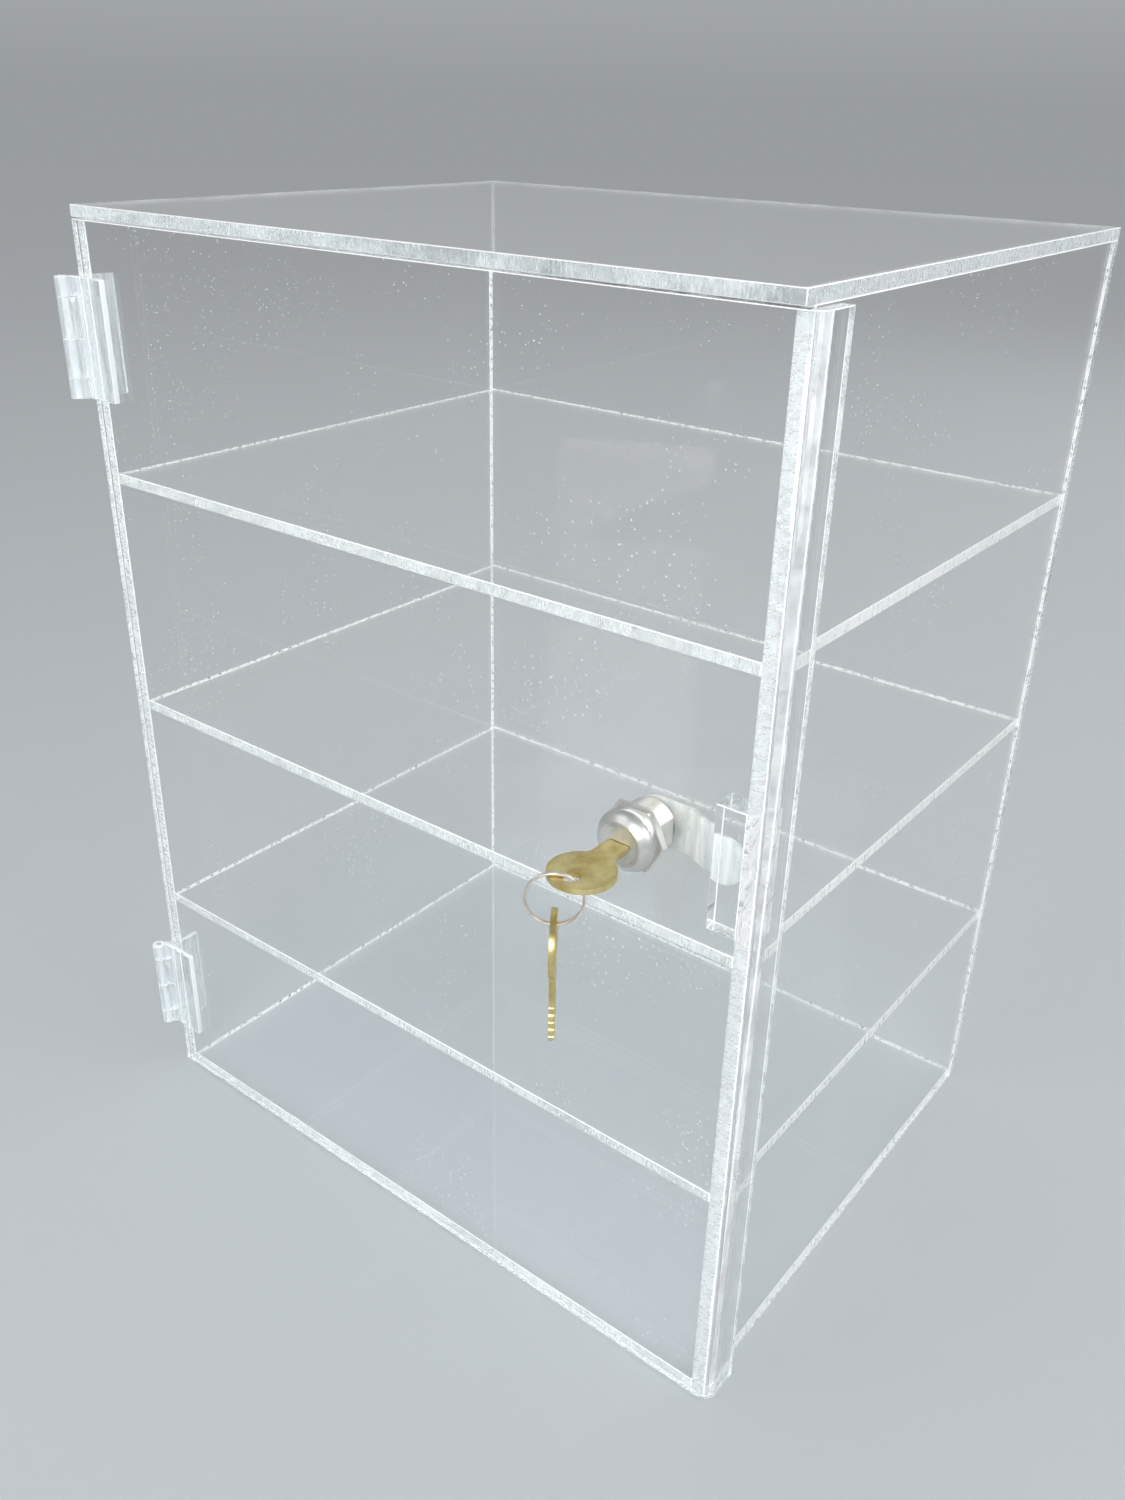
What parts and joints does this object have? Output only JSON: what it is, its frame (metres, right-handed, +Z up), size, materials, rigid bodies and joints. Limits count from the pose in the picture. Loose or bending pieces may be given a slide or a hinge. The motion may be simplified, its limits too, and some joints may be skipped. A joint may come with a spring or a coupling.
{
  "type": "locking display case",
  "caption": "Clear acrylic countertop display case with shelves, an overlay door on clear hinges and a keyed cam lock behind which the door shuts.",
  "frame": {"origin": "centre of the case's underside, on the surface it stands on", "axes": "+Z up; -Y out of the door's front face; +X to the viewer's right when facing the door, with the hinges at -X and the lock near +X"},
  "size_m": [0.3234, 0.2858, 0.4064],
  "materials": {
    "clear_acrylic": "polished, clear",
    "hinge_plastic": "moulded, clear",
    "hinge_pin_plastic": "drawn, clear",
    "nickel_plate": "bright nickel plate",
    "plug_zinc": "satin",
    "wafer_brass": "stamped",
    "spring_steel": "oiled",
    "zinc_plated_steel": "bright zinc plate",
    "key_brass": "stamped, worn",
    "ring_steel": "nickel plated wire"
  },
  "bodies": {
    "case": {"top_panel": "clear_acrylic", "bottom_panel": "clear_acrylic", "back_panel": "clear_acrylic", "left_panel": "clear_acrylic", "right_panel": "clear_acrylic", "lower_shelf": "clear_acrylic", "middle_shelf": "clear_acrylic", "upper_shelf": "clear_acrylic", "strike_block": "clear_acrylic", "upper_hinge_case_leaf": "hinge_plastic", "lower_hinge_case_leaf": "hinge_plastic", "upper_hinge_pin": "hinge_pin_plastic", "lower_hinge_pin": "hinge_pin_plastic"},
    "door": {"door_panel": "clear_acrylic", "lock_housing": "nickel_plate", "lock_nut": "nickel_plate", "upper_hinge_door_leaf": "hinge_plastic", "lower_hinge_door_leaf": "hinge_plastic"},
    "plug": {"lock_plug": "plug_zinc", "plug_retainer": "spring_steel", "lock_cam": "zinc_plated_steel", "cam_washer": "zinc_plated_steel", "cam_screw": "zinc_plated_steel"},
    "wafers": {"lock_wafers": "wafer_brass"},
    "key": {"key": "key_brass"},
    "ring": {"key_ring": "ring_steel"},
    "spare": {"spare_key": "key_brass"}
  },
  "joints": [
    {"name": "door_swing", "type": "hinge", "parent": "case", "child": "door", "pos_m": [-0.1599, -0.1259, 0], "axis": [0, 0, -1], "range_deg": [0, 270]},
    {"name": "lock_turn", "type": "hinge", "parent": "door", "child": "plug", "pos_m": [0.11, -0.1215, 0.2322], "axis": [0, -1, 0], "range_deg": [0, 90]},
    {"name": "key_slide", "type": "slide", "parent": "plug", "child": "key", "axis": [0, -1, 0], "range_m": [0, 0.0223]},
    {"name": "wafer_lift", "type": "slide", "parent": "plug", "child": "wafers", "axis": [1, 0, 0], "range_m": [0, 0.0009]},
    {"name": "ring_swing", "type": "hinge", "parent": "key", "child": "ring", "pos_m": [0.10655, -0.15448, 0.2322], "axis": [0.8192, 0.5736, 0], "range_deg": [-20, 10]},
    {"name": "spare_key_swing", "type": "hinge", "parent": "ring", "child": "spare", "pos_m": [0.10655, -0.15448, 0.21553], "axis": [0.8192, 0.5736, 0], "range_deg": [-70, 20]}
  ],
  "couplings": [
    {"joint": "wafer_lift", "follows": "key_slide", "ratio": 0.04035}
  ]
}
